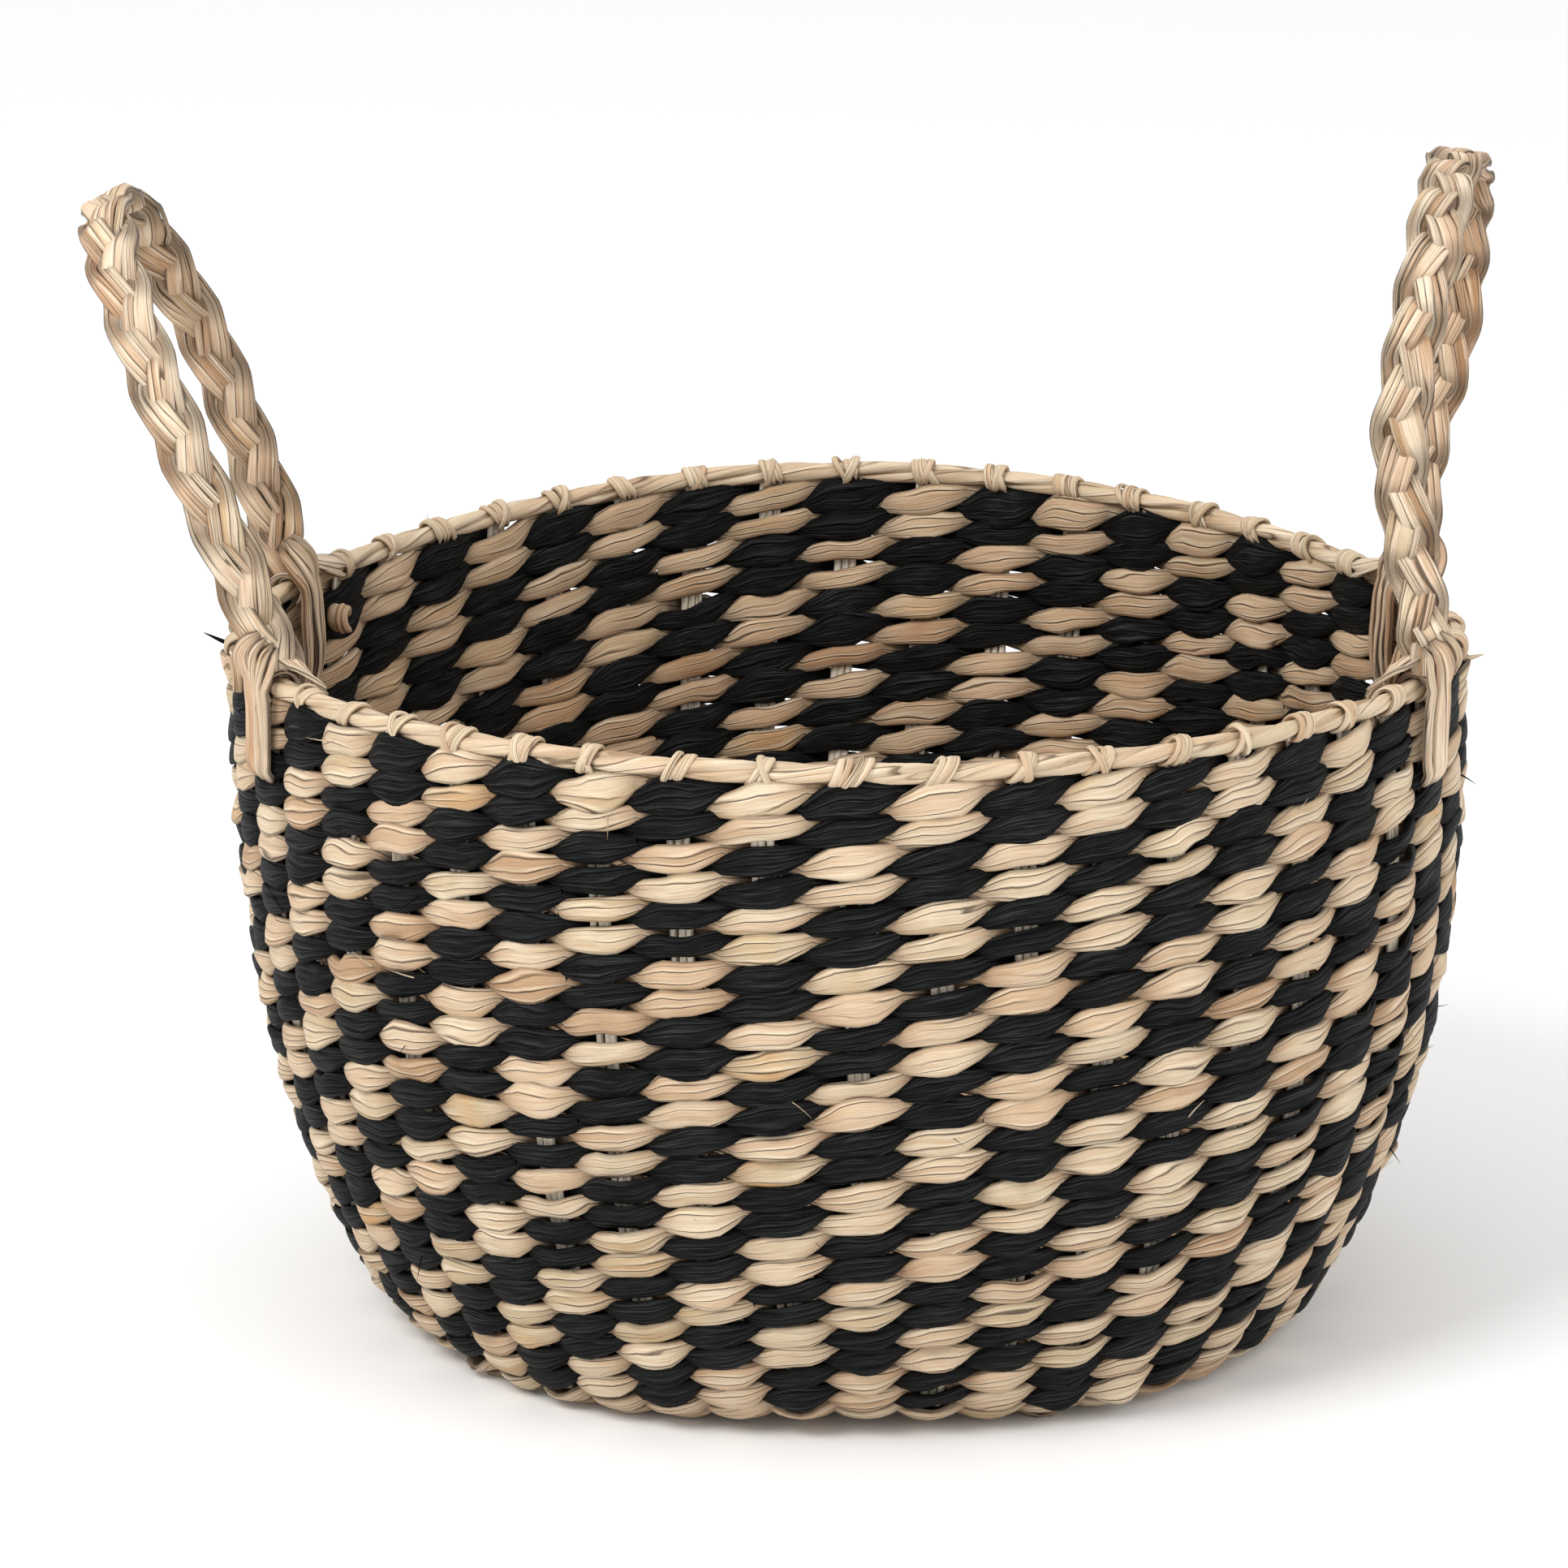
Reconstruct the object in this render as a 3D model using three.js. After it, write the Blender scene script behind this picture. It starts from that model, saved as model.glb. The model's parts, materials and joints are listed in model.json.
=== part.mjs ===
// A round, open market basket twined from flat straw strands over upright stakes, with a corded
// rim and two plaited loop handles that bend over the rim. Millimetres, +Z up. The origin is the
// centre of the underside of the base, and the handles stand at the -X and +X sides.
import * as THREE from "three";

// Wall and base
const STAKE_COUNT = 46;
const ROW_PITCH = 9.3; // along the wall, one twined row to the next
const ROWS_PER_COURSE = 2; // rows that share one natural and one black strand
const COURSE_COUNT = 12;
const STAKE_THICK = 2.2;
const STAKE_WIDE = 2.8;
const STAKE_CLEARANCE = 0.6; // stake face to strand face
const STRAND_THICK = 3.1;
const CLEARANCE = 0.35; // between neighbours that lie against each other
const BASE_RADIUS = 128; // where the wall's curve begins
const MAT_RADIUS = 127; // the flat part of the base
const HUB_RADIUS = 44; // where the stakes cross at the middle of the base

// Middle surface of the wall as [radius, height], from the flat base up to the rim
const SKIN = STAKE_THICK / 2 + STAKE_CLEARANCE + STRAND_THICK; // stake line to the outer face
const WALL_OUTLINE = [
  [BASE_RADIUS, SKIN],
  [142, SKIN + 1.1],
  [152.5, SKIN + 5.6],
  [160.5, 22],
  [172.8, 47],
  [185, 81],
  [194.6, 130],
  [197.4, 185],
  [196.2, 230.4],
];

// Rim
const RIM_RADIUS = 198;
const RIM_HEIGHT = 230.4;
const RIM_SADDLE = 4; // front and back stand this much higher than the mean, the sides lower
const CORD_RADIUS = 3;
const LASHING_COIL_RADIUS = 5.5;
const LASHING_RADIUS = 1.4;
const LASHING_STEPS = 6; // per stake
const LASHING_SIDES = 4;

// Handles: two straight legs and a round arch, plaited from three strands
const LEG_SPREAD = 66; // each leg from the middle of its handle
const HINGE_REACH = 188.5; // bending axis from the middle of the basket
const HANDLE_TURN = THREE.MathUtils.degToRad(1.25); // both handles sit this far towards the front
const HINGE_HEIGHT = 240;
const FOLD_RADIUS = 5.2; // roll on the bending axis that the plait's foot turns round
const FOLD_LENGTH = 12;
const PLAIT_PERIOD = 75;
const PLAIT_STEPS = 12; // per period
const PLAIT_SIDEWAYS = 5.3; // how far a strand wanders across the plait
const PLAIT_DEPTH = 3.2; // and through its thickness
const STRAND_HALF_WIDTH = 2.9;
const STRAND_HALF_DEPTH = 2.5;
const PLAIT_STRANDS = ["a", "b", "c"];
// lean: outward offset over the handle's height, as cubic terms that add up to the offset at the top
// twist: how far the hoop turns about the upright, front leg to the left, in radians
const HANDLES = [
  { name: "left_handle", side: -1, height: 132, lean: [40, 20, -7], twist: 0.03 },
  { name: "right_handle", side: 1, height: 147, lean: [-22, 58, -27], twist: 0.16 },
];
const TWISTED_BY = 0.55; // share of the handle's height where its whole twist is reached

// Tails: the plait's ends, flattened down the outside and the inside of the wall
const TAIL_WIDTH = 14;
const TAIL_THICK = 3;
const TAIL_CLEARANCE = 0.9; // to the wall and to the lashing
const TAIL_TOP = RIM_HEIGHT + 5;
const OUTER_TAIL_ROWS = 2.5;
const INNER_TAIL_ROWS = 4;

const NATURAL = new THREE.Color(0.79, 0.65, 0.46);
const BLACK = new THREE.Color(0.045, 0.048, 0.052);

const wallCurve = new THREE.SplineCurve(WALL_OUTLINE.map(([r, z]) => new THREE.Vector2(r, z)));
const wallLength = wallCurve.getLength();
const courseHeight = ROWS_PER_COURSE * ROW_PITCH;
const lashingReach = LASHING_COIL_RADIUS + LASHING_RADIUS;
const coursesTop = wallLength - lashingReach - CLEARANCE;
const coursesStart = coursesTop - COURSE_COUNT * courseHeight;
const legStart = FOLD_RADIUS + CLEARANCE;

// A point at an angle round the basket. The saddle of the rim fades out towards the base.
function basketPoint(angle, radius, height) {
  const saddle = RIM_SADDLE * Math.cos(2 * angle) * (height / RIM_HEIGHT) ** 2;
  return new THREE.Vector3(radius * Math.cos(angle), radius * Math.sin(angle), height - saddle);
}

// [radius, height] at a distance up the wall, moved square off the stake line.
function wallSpot(along, outward) {
  const u = Math.min(1, Math.max(0, along / wallLength));
  const spot = wallCurve.getPointAt(u);
  const uphill = wallCurve.getTangentAt(u);
  return [spot.x + outward * uphill.y, spot.y - outward * uphill.x];
}

// A closed solid through sections of equal corner count, as a closed loop or with flat ends.
function loft(sections, isLoop) {
  const corners = sections[0].length;
  const positions = sections.flat().flatMap((p) => [p.x, p.y, p.z]);
  const index = [];
  const spans = isLoop ? sections.length : sections.length - 1;
  for (let i = 0; i < spans; i++) {
    const here = i * corners;
    const next = ((i + 1) % sections.length) * corners;
    for (let k = 0; k < corners; k++) {
      const m = (k + 1) % corners;
      index.push(here + k, here + m, next + m, here + k, next + m, next + k);
    }
  }
  if (!isLoop) {
    const last = (sections.length - 1) * corners;
    for (let k = 1; k < corners - 1; k++) {
      index.push(0, k + 1, k);
      index.push(last, last + k, last + k + 1);
    }
  }
  const geometry = new THREE.BufferGeometry();
  geometry.setAttribute("position", new THREE.Float32BufferAttribute(positions, 3));
  geometry.setIndex(index);
  return geometry;
}

function stakeAngle(i) {
  return -Math.PI / 2 + (i * 2 * Math.PI) / STAKE_COUNT;
}

// A ring round the basket. spots holds its section as [radius, height], clockwise seen along +angle.
function ringSolid(spots) {
  const sections = [];
  for (let i = 0; i < STAKE_COUNT; i++) {
    sections.push(spots.map(([radius, height]) => basketPoint(stakeAngle(i), radius, height)));
  }
  return loft(sections, true);
}

// A band of strand that follows the wall between two distances, on one side of the stakes.
function bandSpots(from, to, steps, isOutside) {
  const near = STAKE_THICK / 2 + STAKE_CLEARANCE;
  const offsets = isOutside ? [near, near + STRAND_THICK] : [-near - STRAND_THICK, -near];
  const inner = [];
  const outer = [];
  for (let i = 0; i <= steps; i++) {
    const along = from + ((to - from) * i) / steps;
    inner.push(wallSpot(along, offsets[0]));
    outer.push(wallSpot(along, offsets[1]));
  }
  return [...inner, ...outer.reverse()];
}

function discSolid(bottom, top) {
  const sections = [bottom, top].map((height) => {
    const ring = [];
    for (let i = 0; i < STAKE_COUNT; i++) {
      ring.push(basketPoint(stakeAngle(i), MAT_RADIUS, height));
    }
    return ring;
  });
  return loft(sections, false);
}

// All stakes as one body: they cross in a hub under the base and bend up into the wall.
function stakeCage() {
  const half = STAKE_THICK / 2;
  const stations = [0, coursesStart / 2, coursesStart, coursesStart + courseHeight];
  for (let course = 2; course <= COURSE_COUNT; course += 2) {
    stations.push(coursesStart + course * courseHeight);
  }
  stations[stations.length - 1] = wallLength - CORD_RADIUS - CLEARANCE;
  const positions = [];
  const index = [];
  const addPoint = (p) => positions.push(p.x, p.y, p.z) / 3 - 1;
  const hub = [SKIN - half, SKIN + half].map((height) => {
    const ring = [];
    for (let i = 0; i < STAKE_COUNT; i++) {
      ring.push(addPoint(basketPoint(stakeAngle(i - 0.5), HUB_RADIUS, height)));
    }
    return ring;
  });
  const middle = [SKIN - half, SKIN + half].map((z) => addPoint(new THREE.Vector3(0, 0, z)));
  for (let i = 0; i < STAKE_COUNT; i++) {
    const next = (i + 1) % STAKE_COUNT;
    index.push(middle[0], hub[0][next], hub[0][i]);
    index.push(middle[1], hub[1][i], hub[1][next]);
    let previous = [hub[0][i], hub[0][next], hub[1][next], hub[1][i]];
    for (const station of stations) {
      const corners = [
        [-1, 1],
        [1, 1],
        [1, -1],
        [-1, -1],
      ].map(([across, outward]) => {
        const [radius, height] = wallSpot(station, outward * half);
        const turn = (across * STAKE_WIDE) / 2 / radius;
        return addPoint(basketPoint(stakeAngle(i) + turn, radius, height));
      });
      for (let k = 0; k < 4; k++) {
        const m = (k + 1) % 4;
        index.push(previous[k], previous[m], corners[m], previous[k], corners[m], corners[k]);
      }
      previous = corners;
    }
    index.push(previous[0], previous[1], previous[2], previous[0], previous[2], previous[3]);
  }
  const geometry = new THREE.BufferGeometry();
  geometry.setAttribute("position", new THREE.Float32BufferAttribute(positions, 3));
  geometry.setIndex(index);
  return geometry;
}

function rimCord() {
  const sides = 6;
  const spots = [];
  for (let k = 0; k < sides; k++) {
    const turn = (-2 * Math.PI * k) / sides;
    spots.push([
      RIM_RADIUS + CORD_RADIUS * Math.cos(turn),
      RIM_HEIGHT + CORD_RADIUS * Math.sin(turn),
    ]);
  }
  return ringSolid(spots);
}

// One strand coiled round the rim cord, over its top at each stake and under it between stakes.
function rimLashing() {
  const sections = [];
  for (let i = 0; i < STAKE_COUNT * LASHING_STEPS; i++) {
    const coil = Math.PI / 2 - (i * 2 * Math.PI) / LASHING_STEPS;
    const angle = stakeAngle(i / LASHING_STEPS);
    const section = [];
    for (let k = 0; k < LASHING_SIDES; k++) {
      const turn = coil - (k * 2 * Math.PI) / LASHING_SIDES;
      const radius = RIM_RADIUS + LASHING_COIL_RADIUS * Math.cos(coil);
      const height = RIM_HEIGHT + LASHING_COIL_RADIUS * Math.sin(coil);
      section.push(
        basketPoint(
          angle,
          radius + LASHING_RADIUS * Math.cos(turn),
          height + LASHING_RADIUS * Math.sin(turn)
        )
      );
    }
    sections.push(section);
  }
  return loft(sections, true);
}

// Turns a spot that was laid out square to the X axis to where its handle sits.
function seat(side, spot) {
  return spot.applyAxisAngle(new THREE.Vector3(0, 0, 1), -side * HANDLE_TURN);
}

// Middle line of a handle, its outward direction and the direction through the plait.
function handleSpot(handle, length) {
  const legLength = handle.height - LEG_SPREAD;
  const archLength = Math.PI * LEG_SPREAD;
  const turn = Math.min(Math.max(length - legLength, 0), archLength) / LEG_SPREAD;
  const down = Math.max(0, length - legLength - archLength);
  const rise = Math.min(length, legLength) + LEG_SPREAD * Math.sin(turn) - down;
  const across = -LEG_SPREAD * Math.cos(turn);
  const share = rise / handle.height;
  const [a, b, c] = handle.lean;
  const offset = share * (a + share * (b + share * c));
  const slope = (a + share * (2 * b + share * 3 * c)) / handle.height;
  const twisted = handle.twist * THREE.MathUtils.smoothstep(share, 0, TWISTED_BY);
  const point = new THREE.Vector3(
    handle.side * (HINGE_REACH + offset) + twisted * across,
    across,
    HINGE_HEIGHT + rise
  );
  const uphill = new THREE.Vector3(handle.side * slope, 0, 1).normalize();
  const outward = new THREE.Vector3(1, 0, -handle.side * slope).normalize();
  const forward = uphill.multiplyScalar(Math.cos(turn));
  forward.y = Math.sin(turn);
  const through = new THREE.Vector3().crossVectors(forward.normalize(), outward).normalize();
  return {
    point: seat(handle.side, point),
    outward: seat(handle.side, outward),
    through: seat(handle.side, through),
  };
}

function plaitStrand(handle, order) {
  const total = 2 * (handle.height - LEG_SPREAD) + Math.PI * LEG_SPREAD - 2 * legStart;
  const step = PLAIT_PERIOD / PLAIT_STEPS;
  const sections = [];
  for (let i = 0; i <= Math.floor(total / step); i++) {
    const { point, outward, through } = handleSpot(handle, legStart + i * step);
    const phase = 2 * Math.PI * (i / PLAIT_STEPS + order / PLAIT_STRANDS.length);
    const sideways = PLAIT_SIDEWAYS * Math.sin(phase);
    const depth = PLAIT_DEPTH * Math.sin(2 * phase);
    const middle = point.clone().addScaledVector(outward, sideways).addScaledVector(through, depth);
    sections.push([
      middle.clone().addScaledVector(outward, STRAND_HALF_WIDTH),
      middle.clone().addScaledVector(through, STRAND_HALF_DEPTH),
      middle.clone().addScaledVector(outward, -STRAND_HALF_WIDTH),
      middle.clone().addScaledVector(through, -STRAND_HALF_DEPTH),
    ]);
  }
  return loft(sections, false);
}

// The roll that a leg folds over, lying along the bending axis.
function fold(side, leg) {
  const sides = 8;
  const sections = [-1, 1].map((end) => {
    const section = [];
    for (let k = 0; k < sides; k++) {
      const turn = (-2 * Math.PI * (k + 0.5)) / sides;
      const corner = new THREE.Vector3(
        side * HINGE_REACH + FOLD_RADIUS * Math.cos(turn),
        leg * LEG_SPREAD + (end * FOLD_LENGTH) / 2,
        HINGE_HEIGHT + FOLD_RADIUS * Math.sin(turn)
      );
      section.push(seat(side, corner));
    }
    return section;
  });
  return loft(sections, false);
}

// A flat tail on the outside or inside of the wall below one leg.
function tail(side, leg, isOutside) {
  const sign = isOutside ? 1 : -1;
  const angle = Math.atan2(leg * LEG_SPREAD, side * HINGE_REACH) - side * HANDLE_TURN;
  const rows = isOutside ? OUTER_TAIL_ROWS : INNER_TAIL_ROWS;
  const offset = sign * (SKIN + TAIL_CLEARANCE + TAIL_THICK / 2);
  const besideRim = RIM_RADIUS + sign * (lashingReach + TAIL_CLEARANCE + TAIL_THICK / 2);
  const path = [
    wallSpot(coursesTop - rows * ROW_PITCH, offset),
    wallSpot(coursesTop - ROW_PITCH, offset),
    [besideRim, RIM_HEIGHT - lashingReach],
    [besideRim, TAIL_TOP],
  ];
  const radial = new THREE.Vector3(Math.cos(angle), Math.sin(angle), 0);
  const sideways = new THREE.Vector3(-Math.sin(angle), Math.cos(angle), 0);
  const sections = path.map(([radius, height]) => {
    const middle = basketPoint(angle, radius, height);
    return [
      [-1, -1],
      [1, -1],
      [1, 1],
      [-1, 1],
    ].map(([out, along]) =>
      middle
        .clone()
        .addScaledVector(radial, (out * TAIL_THICK) / 2)
        .addScaledVector(sideways, (along * TAIL_WIDTH) / 2)
    );
  });
  return loft(sections, false);
}

const basket = new THREE.Group();

function addNode(name, geometry, colour, roughness = 0.8) {
  const material = new THREE.MeshStandardMaterial({ color: colour, roughness, metalness: 0 });
  const mesh = new THREE.Mesh(geometry, material);
  mesh.name = name;
  basket.add(mesh);
}

addNode("stake_cage", stakeCage(), NATURAL);
addNode("base_mat_lower", discSolid(0, STRAND_THICK), NATURAL);
addNode("base_mat_upper", discSolid(2 * SKIN - STRAND_THICK, 2 * SKIN), NATURAL);
for (const [name, isOutside] of [
  ["base_border_outer", true],
  ["base_border_inner", false],
]) {
  addNode(name, ringSolid(bandSpots(0, coursesStart - CLEARANCE, 2, isOutside)), NATURAL);
}

// Each course has a natural and a black strand, one outside the stakes and one inside them.
for (let course = 1; course <= COURSE_COUNT; course++) {
  const top = coursesStart + course * courseHeight;
  const naturalOutside = course % 2 === 0;
  const number = String(course).padStart(2, "0");
  for (const [name, isOutside, colour] of [
    ["natural_weft_", naturalOutside, NATURAL],
    ["black_weft_", !naturalOutside, BLACK],
  ]) {
    const spots = bandSpots(top - courseHeight, top - CLEARANCE, 1, isOutside);
    addNode(name + number, ringSolid(spots), colour);
  }
}

addNode("rim_cord", rimCord(), NATURAL);
addNode("rim_lashing", rimLashing(), NATURAL);

for (const handle of HANDLES) {
  PLAIT_STRANDS.forEach((letter, order) => {
    addNode(`${handle.name}_strand_${letter}`, plaitStrand(handle, order), NATURAL, 0.7);
  });
  for (const [end, leg] of [
    ["front", -1],
    ["back", 1],
  ]) {
    addNode(`${handle.name}_${end}_fold`, fold(handle.side, leg), NATURAL);
    for (const place of ["outer", "inner"]) {
      const name = `${handle.name}_${end}_tail_${place}`;
      addNode(name, tail(handle.side, leg, place === "outer"), NATURAL);
    }
  }
}

export default basket;
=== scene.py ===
"""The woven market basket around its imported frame: every twined strand, the corded rim and the plaited
handles with their tails. Metres, in the CAD frame: +Z up, -Y the front, handles at -X and +X."""

import json
import math

import bpy
import numpy as np
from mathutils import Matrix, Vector


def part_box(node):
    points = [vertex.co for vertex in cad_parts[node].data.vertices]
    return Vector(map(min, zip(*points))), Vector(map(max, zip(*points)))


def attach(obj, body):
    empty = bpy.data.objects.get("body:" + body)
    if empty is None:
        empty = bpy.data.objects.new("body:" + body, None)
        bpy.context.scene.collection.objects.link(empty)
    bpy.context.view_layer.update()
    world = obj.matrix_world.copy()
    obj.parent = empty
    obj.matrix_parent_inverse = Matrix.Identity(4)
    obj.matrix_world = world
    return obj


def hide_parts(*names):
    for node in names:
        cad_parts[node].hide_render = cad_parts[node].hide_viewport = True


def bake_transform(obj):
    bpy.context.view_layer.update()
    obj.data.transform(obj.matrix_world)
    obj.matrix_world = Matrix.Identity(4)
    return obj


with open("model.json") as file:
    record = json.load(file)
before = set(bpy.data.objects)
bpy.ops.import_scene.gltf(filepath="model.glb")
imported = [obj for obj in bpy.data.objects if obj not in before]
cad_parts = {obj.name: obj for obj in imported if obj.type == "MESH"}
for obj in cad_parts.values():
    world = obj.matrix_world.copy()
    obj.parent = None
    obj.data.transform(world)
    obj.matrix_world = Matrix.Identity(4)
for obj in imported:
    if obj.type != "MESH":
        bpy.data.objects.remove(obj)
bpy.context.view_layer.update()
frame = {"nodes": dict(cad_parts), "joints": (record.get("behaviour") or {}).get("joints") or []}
rng = np.random.default_rng(46)

MM = 0.001
TURN = 2 * math.pi

# Wall
STAKES = 46
STITCH = TURN / STAKES
SADDLE = 4 * MM  # the rim stands this much higher at the front and back, and lower at the sides
ROW_PITCH = 9.3 * MM
FIRST_ROW = 8.6 * MM  # below the middle of the rim cord
WALL_ROWS = 24
ROWS_PER_COURSE = 2
COURSES_PER_PIECE = 2
DRIFT = math.radians(2.4)  # the stakes lean this far round from the rim to the base
STEPS_PER_STITCH = 10
SECTION_SIDES = 14
STRAND_DEPTH = 3.1 * MM  # middle of a strand to the stake line
PASS_HALF_THICK = 1.4 * MM
CROSSING_HALF_THICK = 1.9 * MM
# Upper edge of a leaf above its row, from the crossing before its stake (-1) to the one after (1).
# The lower edge is the same line turned about the stake.
LEAF_PLACES = (-1, -0.65, -0.3, 0.15, 0.6, 1)
LEAF_EDGE = (0.2 * MM, 2.6 * MM, 5.0 * MM, 5.5 * MM, 5.5 * MM, 5.5 * MM)
FIRST_ROW_SIZE = 1.15  # the row under the rim cord is fuller
NATURAL_INSIDE_SIZE = 0.88  # a leaf on the inside of the wall to one on the outside
BLACK_INSIDE_SIZE = 1.1
# The wall's own shape, strongest at the rim: waves of two and of four round it, in mm
OVAL = -2.3
SQUARE = 3.0
SHAPE_REACH = 120 * MM  # down from the rim to where it has faded out
BULGE_REACH = 85 * MM
BULGE_SPREAD = 0.06  # in terms of 1 - cosine of the angle away from the handle

# Base
BASE_STEPS_PER_STITCH = 6
BASE_SECTION_SIDES = 10
HUB_REEDS = 4  # they cross in the middle of the mat and close it
HUB_REACH = 13 * MM
HUB_HEIGHT = 5 * MM
HUB_STACK = 0.5 * MM  # from one reed up to the next
HUB_HALF_WIDTH = 2.6 * MM
HUB_HALF_THICK = 0.9 * MM

# Stakes and rim
REEDS = 3  # in each stake
REED_SPACING = 2.5 * MM
REED_HALF_WIDTH = 1.3 * MM
STAKE_STOP = 30 * MM  # the reeds end this far from the middle of the base
RIM_STRANDS = 2
CORD_STEPS_PER_STITCH = 10
CORD_REACH = 1.4 * MM  # middle of a strand to the middle of the cord
CORD_HALF_WIDTH = 2.8 * MM
CORD_HALF_THICK = 2.0 * MM
WRAP_STEPS = 22
WRAP_REACH = 3.7  # in mm
WRAP_SPACING = 2.2 * MM

# Handles
PLAIT_PERIOD = 68 * MM
PLAIT_EDGE = 6.7 * MM  # the bundles fold over at this distance from the plait's middle
PLAIT_SIDEWAYS = 5.9 * MM  # how far a bundle's middle swings across
PLAIT_DEPTH = 2.4 * MM
PLAIT_CORNERS = 0.985  # 1 is a sharp zigzag, towards 0 a soft wave
PLAIT_HALF_WIDTH = 5.1 * MM
PLAIT_HALF_THICK = 1.9 * MM
PLAIT_BLADES = 3
PLAIT_STEP = 1.7 * MM
PLAIT_FOOT = -7 * MM  # the plait starts this far from the bending axis
LEG_SPREAD = 66 * MM
TWISTS = {"left_handle": 0.03, "right_handle": 0.16}  # the hoop turns about the upright, in radians
TWISTED_BY = 0.55  # share of a handle's height where its whole twist is reached
LEANS = {"left_handle": (0.040, 0.020, -0.007), "right_handle": (-0.022, 0.058, -0.027)}
HEIGHTS = {"left_handle": 132 * MM, "right_handle": 147 * MM}
SIDES = {"left_handle": -1, "right_handle": 1}
BULGES = {"left_handle": 4.5 * MM, "right_handle": 2.5 * MM}  # the tails push the wall out here
TAIL_TOP = 4.5 * MM  # above the bending axis
OUTER_TAIL_ROWS = 2.5
INNER_TAIL_ROWS = 4
TAIL_BLADES = 4
TAIL_HALF_THICK = 1.7 * MM
OUTER_TAIL_OFF = (7.4, 6.5, 5.9, 5.7, 5.7, 5.6, 3.0)  # middle of a tail to the stake line, in mm
INNER_TAIL_OFF = (7.4, 8.4, 9.2, 9.0, 7.6, 6.6, 3.4)
FOLD_BLADES = 3
FOLD_SPACING = 3.1 * MM
FOLD_STEPS = 26
FOLD_REACH = 5.0  # in mm
TUCK_LENGTH = 27 * MM  # how far the tucked blades run along the rim
TUCK_STEPS = 20

# Stray ends: degrees round, down from the rim, heading (out, up, round), length, width, is it dark
STRAY_ENDS = [
    (-132, -2, 0.1, 1.0, 0.3, 9, 1.1, False),
    (-116, -3, -0.2, 1.0, -0.3, 7, 0.5, False),
    (-115, -3, 0.1, 1.0, 0.2, 6, 0.4, False),
    (-117, -3, 0.0, 1.0, 0.5, 5, 0.4, False),
    (-112, 14, 0.5, -1.0, 0.4, 10, 0.35, False),
    (-179, 2, 1.0, 0.35, -0.2, 9, 0.8, True),
    (31, -2, 0.1, 1.0, -0.2, 9, 0.9, True),
    (-4, 4, 1.0, 0.25, 0.1, 7, 1.2, False),
    (-6, 42, 1.0, -0.6, 0.2, 6, 0.35, True),
    (-68, 60, 0.4, 0.2, 1.0, 9, 0.35, False),
    (-95, 105, 0.4, -0.5, 1.0, 8, 0.35, False),
    (-140, 80, 0.5, 0.6, -1.0, 8, 0.35, False),
    (100, 30, -0.3, 0.5, 1.0, 7, 0.4, False),
    (60, 55, 0.6, 0.5, 1.0, 8, 0.4, False),
    (140, 95, 0.6, -0.5, 1.0, 8, 0.4, True),
]

STRAY_HAIRS = 46  # fine fibres scattered over the wall

# Curled ends: degrees round, down from the rim, off the wall, radius, half width, in mm
CURLED_ENDS = [
    (155, 15, -8, 3.8, 3.4),
    (-167, 1, 5, 5.0, 1.5),
]

# Stage
EYE = (0, -2.997, 0.995)
LOOKS_AT = (-0.0213, 0, 0.1761)
FOCAL_LENGTH = 215.2
LIGHTS_AIM = (0, 0, 0.15)

joints = {joint["child"]: joint for joint in frame["joints"]}
rim_low, rim_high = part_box("rim_cord")
RIM_RADIUS = (rim_high.y - rim_low.y) / 2 - 3 * MM
RIM_HEIGHT = (rim_high.z + rim_low.z) / 2


# ---------------------------------------------------------------- the basket's surface

def stake_line():
    """Middle of the front stake as rows of radius and height, from the base's edge to the rim."""
    corners = np.array([v.co for v in frame["nodes"]["stake_cage"].data.vertices])
    corners = np.unique(np.round(corners, 5), axis=0)
    on_front = (np.abs(corners[:, 0]) < 2 * MM) & (corners[:, 1] < -50 * MM)
    spots = np.column_stack([-corners[on_front, 1], corners[on_front, 2]])
    spots = spots[np.argsort(spots.sum(1))]
    return spots.reshape(-1, 4, 2).mean(1)


def smooth_curve(spots, samples=60):
    """A cubic curve through the spots, sampled evenly enough to be read as a polyline."""
    gaps = np.linalg.norm(np.diff(spots, axis=0), axis=1)
    knots = np.concatenate([[0], np.cumsum(gaps)])
    slopes = np.gradient(spots, knots, axis=0)
    pieces = []
    for i, gap in enumerate(gaps):
        t = np.linspace(0, 1, samples, endpoint=False)[:, None]
        pieces.append(
            (2 * t**3 - 3 * t**2 + 1) * spots[i]
            + (t**3 - 2 * t**2 + t) * gap * slopes[i]
            + (3 * t**2 - 2 * t**3) * spots[i + 1]
            + (t**3 - t**2) * gap * slopes[i + 1]
        )
    return np.concatenate(pieces + [spots[-1:]])


def build_profile():
    """Distance down from the rim, radius and height, from the rim to the middle of the base."""
    front = stake_line()
    k = SADDLE / RIM_HEIGHT**2
    front[:, 1] = (np.sqrt(1 + 4 * k * front[:, 1]) - 1) / (2 * k)
    heading = front[-1] - front[-2]
    heading /= np.linalg.norm(heading)
    rim_spot = front[-1] + heading * (RIM_HEIGHT - front[-1, 1])
    flat = [[r, front[0, 1]] for r in np.linspace(0, front[0, 0], 4, endpoint=False)]
    curve = smooth_curve(np.vstack([flat, front, rim_spot]))[::-1]
    down = np.concatenate([[0], np.cumsum(np.linalg.norm(np.diff(curve, axis=0), axis=1))])
    return down, curve[:, 0], curve[:, 1]


PROFILE_DOWN, PROFILE_RADIUS, PROFILE_HEIGHT = build_profile()


DENTS = [
    (rng.integers(2, 7), rng.uniform(8, 30), rng.uniform(0, TURN), rng.uniform(0.25, 0.6) * MM)
    for _ in range(10)
]


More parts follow.
